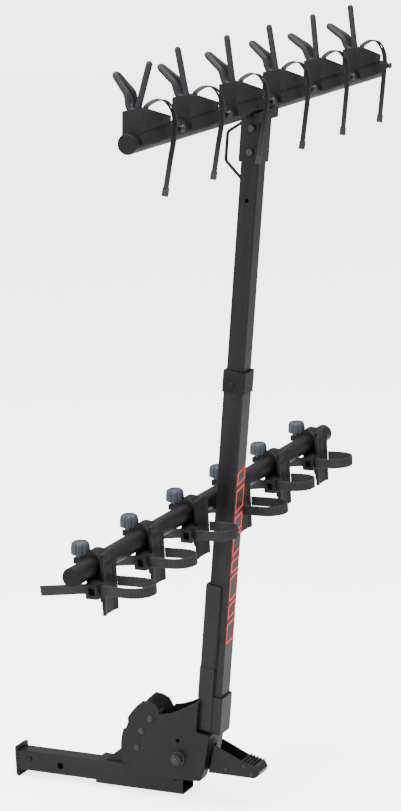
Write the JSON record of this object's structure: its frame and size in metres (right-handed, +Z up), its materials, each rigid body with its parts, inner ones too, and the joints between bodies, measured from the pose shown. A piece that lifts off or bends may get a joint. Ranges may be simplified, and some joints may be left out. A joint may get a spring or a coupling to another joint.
{
  "type": "hitch mounted bike rack",
  "caption": "Vertical hitch mounted bike rack: leaning telescopic mast, upper bar with fork yokes and lower bar with strapped wheel cradles.",
  "frame": {"origin": "centre of the hitch pin hole, on the axis of the square hitch tube", "axes": "+X rearwards along the hitch tube, away from the vehicle; +Y along the two bars; +Z up"},
  "size_m": [0.7724, 1.388, 1.8537],
  "materials": {
    "steel": "satin black powder coat",
    "bolt": "dark plated",
    "plastic": "moulded grain",
    "coating": "matte rubbery coating over steel rod",
    "strap": "matte",
    "knob": "satin moulded"
  },
  "bodies": {
    "base": {"hitch_tube": "steel", "hitch_wedge": "plastic", "base_sleeve": "steel", "index_plate_near": "steel", "index_plate_far": "steel", "index_pin_1": "bolt", "index_pin_2": "bolt", "index_pin_3": "bolt", "pivot_bolt": "bolt"},
    "lower_mast": {"swivel_bracket": "steel", "mast_outer": "steel", "clamp_collar": "plastic", "lower_bar": "steel", "lower_bar_cap_near": "plastic", "lower_bar_cap_far": "plastic"},
    "pedal": {"pedal_lever": "steel"},
    "upper_mast": {"mast_inner": "steel", "top_bracket": "steel", "bracket_bolt_1": "bolt", "bracket_bolt_2": "bolt", "grab_handle": "steel", "upper_bar": "steel", "upper_bar_cap_near": "plastic", "upper_bar_cap_far": "plastic", "saddle_1": "plastic", "saddle_2": "plastic", "saddle_3": "plastic", "saddle_4": "plastic", "saddle_5": "plastic", "saddle_6": "plastic", "fork_strap_1": "strap", "fork_strap_2": "strap", "fork_strap_3": "strap", "fork_strap_4": "strap", "fork_strap_5": "strap", "fork_strap_6": "strap"},
    "yoke_arm_1": {"yoke_1": "coating"},
    "cradle_1": {"wheel_cradle_1": "plastic", "wheel_strap_1": "strap"},
    "clamp_knob_1": {"knob_1": "knob"},
    "yoke_arm_2": {"yoke_2": "coating"},
    "cradle_2": {"wheel_cradle_2": "plastic", "wheel_strap_2": "strap"},
    "clamp_knob_2": {"knob_2": "knob"},
    "yoke_arm_3": {"yoke_3": "coating"},
    "cradle_3": {"wheel_cradle_3": "plastic", "wheel_strap_3": "strap"},
    "clamp_knob_3": {"knob_3": "knob"},
    "yoke_arm_4": {"yoke_4": "coating"},
    "cradle_4": {"wheel_cradle_4": "plastic", "wheel_strap_4": "strap"},
    "clamp_knob_4": {"knob_4": "knob"},
    "yoke_arm_5": {"yoke_5": "coating"},
    "cradle_5": {"wheel_cradle_5": "plastic", "wheel_strap_5": "strap"},
    "clamp_knob_5": {"knob_5": "knob"},
    "yoke_arm_6": {"yoke_6": "coating"},
    "cradle_6": {"wheel_cradle_6": "plastic", "wheel_strap_6": "strap"},
    "clamp_knob_6": {"knob_6": "knob"}
  },
  "joints": [
    {"name": "mast_tilt", "type": "hinge", "parent": "base", "child": "lower_mast", "pos_m": [0.341, 0, 0.07], "axis": [0, 1, 0], "range_deg": [0, 44]},
    {"name": "pedal_press", "type": "hinge", "parent": "lower_mast", "child": "pedal", "pos_m": [0.37, 0, 0.052], "axis": [0, 1, 0], "range_deg": [0, 12], "stiffness_Nm_per_rad": 10, "springref_deg": -14.32},
    {"name": "mast_height", "type": "slide", "parent": "lower_mast", "child": "upper_mast", "axis": [0.1219, 0, 0.9925], "range_m": [-0.15, 0.05]},
    {"name": "yoke_1_swing", "type": "hinge", "parent": "upper_mast", "child": "yoke_arm_1", "pos_m": [0.60305, -0.58, 1.70295], "axis": [0, 1, 0], "range_deg": [-25, 6.2]},
    {"name": "cradle_1_slide", "type": "slide", "parent": "lower_mast", "child": "cradle_1", "axis": [0, 1, 0], "range_m": [-0.02, 0.02]},
    {"name": "knob_1_turn", "type": "hinge", "parent": "cradle_1", "child": "clamp_knob_1", "pos_m": [0.403, -0.57, 0.74], "axis": [0, 0, 1], "continuous": true},
    {"name": "yoke_2_swing", "type": "hinge", "parent": "upper_mast", "child": "yoke_arm_2", "pos_m": [0.60305, -0.352, 1.70295], "axis": [0, 1, 0], "range_deg": [-13.5, 34]},
    {"name": "cradle_2_slide", "type": "slide", "parent": "lower_mast", "child": "cradle_2", "axis": [0, 1, 0], "range_m": [-0.02, 0.02]},
    {"name": "knob_2_turn", "type": "hinge", "parent": "cradle_2", "child": "clamp_knob_2", "pos_m": [0.403, -0.342, 0.74], "axis": [0, 0, 1], "continuous": true},
    {"name": "yoke_3_swing", "type": "hinge", "parent": "upper_mast", "child": "yoke_arm_3", "pos_m": [0.60305, -0.124, 1.70295], "axis": [0, 1, 0], "range_deg": [-14, 30.5]},
    {"name": "cradle_3_slide", "type": "slide", "parent": "lower_mast", "child": "cradle_3", "axis": [0, 1, 0], "range_m": [-0.02, 0.02]},
    {"name": "knob_3_turn", "type": "hinge", "parent": "cradle_3", "child": "clamp_knob_3", "pos_m": [0.403, -0.114, 0.74], "axis": [0, 0, 1], "continuous": true},
    {"name": "yoke_4_swing", "type": "hinge", "parent": "upper_mast", "child": "yoke_arm_4", "pos_m": [0.60305, 0.104, 1.70295], "axis": [0, 1, 0], "range_deg": [-14, 32.5]},
    {"name": "cradle_4_slide", "type": "slide", "parent": "lower_mast", "child": "cradle_4", "axis": [0, 1, 0], "range_m": [-0.02, 0.02]},
    {"name": "knob_4_turn", "type": "hinge", "parent": "cradle_4", "child": "clamp_knob_4", "pos_m": [0.403, 0.114, 0.74], "axis": [0, 0, 1], "continuous": true},
    {"name": "yoke_5_swing", "type": "hinge", "parent": "upper_mast", "child": "yoke_arm_5", "pos_m": [0.60305, 0.332, 1.70295], "axis": [0, 1, 0], "range_deg": [-7, 28.5]},
    {"name": "cradle_5_slide", "type": "slide", "parent": "lower_mast", "child": "cradle_5", "axis": [0, 1, 0], "range_m": [-0.02, 0.02]},
    {"name": "knob_5_turn", "type": "hinge", "parent": "cradle_5", "child": "clamp_knob_5", "pos_m": [0.403, 0.342, 0.74], "axis": [0, 0, 1], "continuous": true},
    {"name": "yoke_6_swing", "type": "hinge", "parent": "upper_mast", "child": "yoke_arm_6", "pos_m": [0.60305, 0.56, 1.70295], "axis": [0, 1, 0], "range_deg": [-7, 30]},
    {"name": "cradle_6_slide", "type": "slide", "parent": "lower_mast", "child": "cradle_6", "axis": [0, 1, 0], "range_m": [-0.02, 0.02]},
    {"name": "knob_6_turn", "type": "hinge", "parent": "cradle_6", "child": "clamp_knob_6", "pos_m": [0.403, 0.57, 0.74], "axis": [0, 0, 1], "continuous": true}
  ]
}
